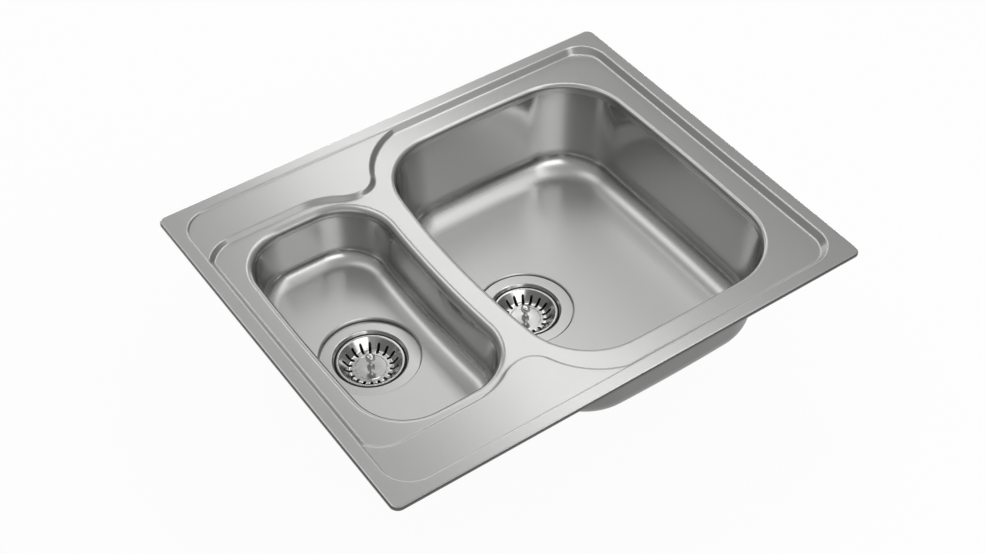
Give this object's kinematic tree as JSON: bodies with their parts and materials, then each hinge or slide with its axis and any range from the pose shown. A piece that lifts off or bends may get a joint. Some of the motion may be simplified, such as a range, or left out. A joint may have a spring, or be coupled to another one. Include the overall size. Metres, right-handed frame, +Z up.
{
  "type": "kitchen sink",
  "caption": "Inset kitchen sink in pressed stainless steel with a main bowl, a smaller half bowl, raised ledges and a lift-out basket strainer waste in each bowl.",
  "frame": {"origin": "middle of the rim's rectangle, on the worktop the rim lies on", "axes": "+X towards the main bowl's end, +Y towards the back, +Z up"},
  "size_m": [0.62, 0.5, 0.2143],
  "materials": {
    "brushed_stainless": "satin brushed",
    "polished_stainless": "polished",
    "plated_steel": "zinc plated",
    "black_rubber": "matt",
    "grey_foam": "foam",
    "damping_pad": "matt",
    "white_plastic": "moulded"
  },
  "bodies": {
    "sink": {"sink_deck": "brushed_stainless", "main_bowl": "brushed_stainless", "half_bowl": "brushed_stainless", "rim_seal": "grey_foam", "clip_brackets": "plated_steel", "main_sound_pad": "damping_pad", "main_flange_gasket": "black_rubber", "main_strainer_cup": "polished_stainless", "main_body_gasket": "black_rubber", "main_waste_body": "white_plastic", "main_clamp_screw": "plated_steel", "main_clamp_nut": "plated_steel", "half_flange_gasket": "black_rubber", "half_strainer_cup": "polished_stainless", "half_body_gasket": "black_rubber", "half_waste_body": "white_plastic", "half_clamp_screw": "plated_steel", "half_clamp_nut": "plated_steel"},
    "main_basket_set": {"main_basket": "polished_stainless", "main_basket_knob": "polished_stainless", "main_basket_seal": "black_rubber", "main_basket_stem": "plated_steel"},
    "half_basket_set": {"half_basket": "polished_stainless", "half_basket_knob": "polished_stainless", "half_basket_seal": "black_rubber", "half_basket_stem": "plated_steel"}
  },
  "joints": [
    {"name": "main_basket_lift", "type": "slide", "parent": "sink", "child": "main_basket_set", "axis": [0, 0, 1], "range_m": [0, 0.17]},
    {"name": "half_basket_lift", "type": "slide", "parent": "sink", "child": "half_basket_set", "axis": [0, 0, 1], "range_m": [0, 0.12]}
  ]
}
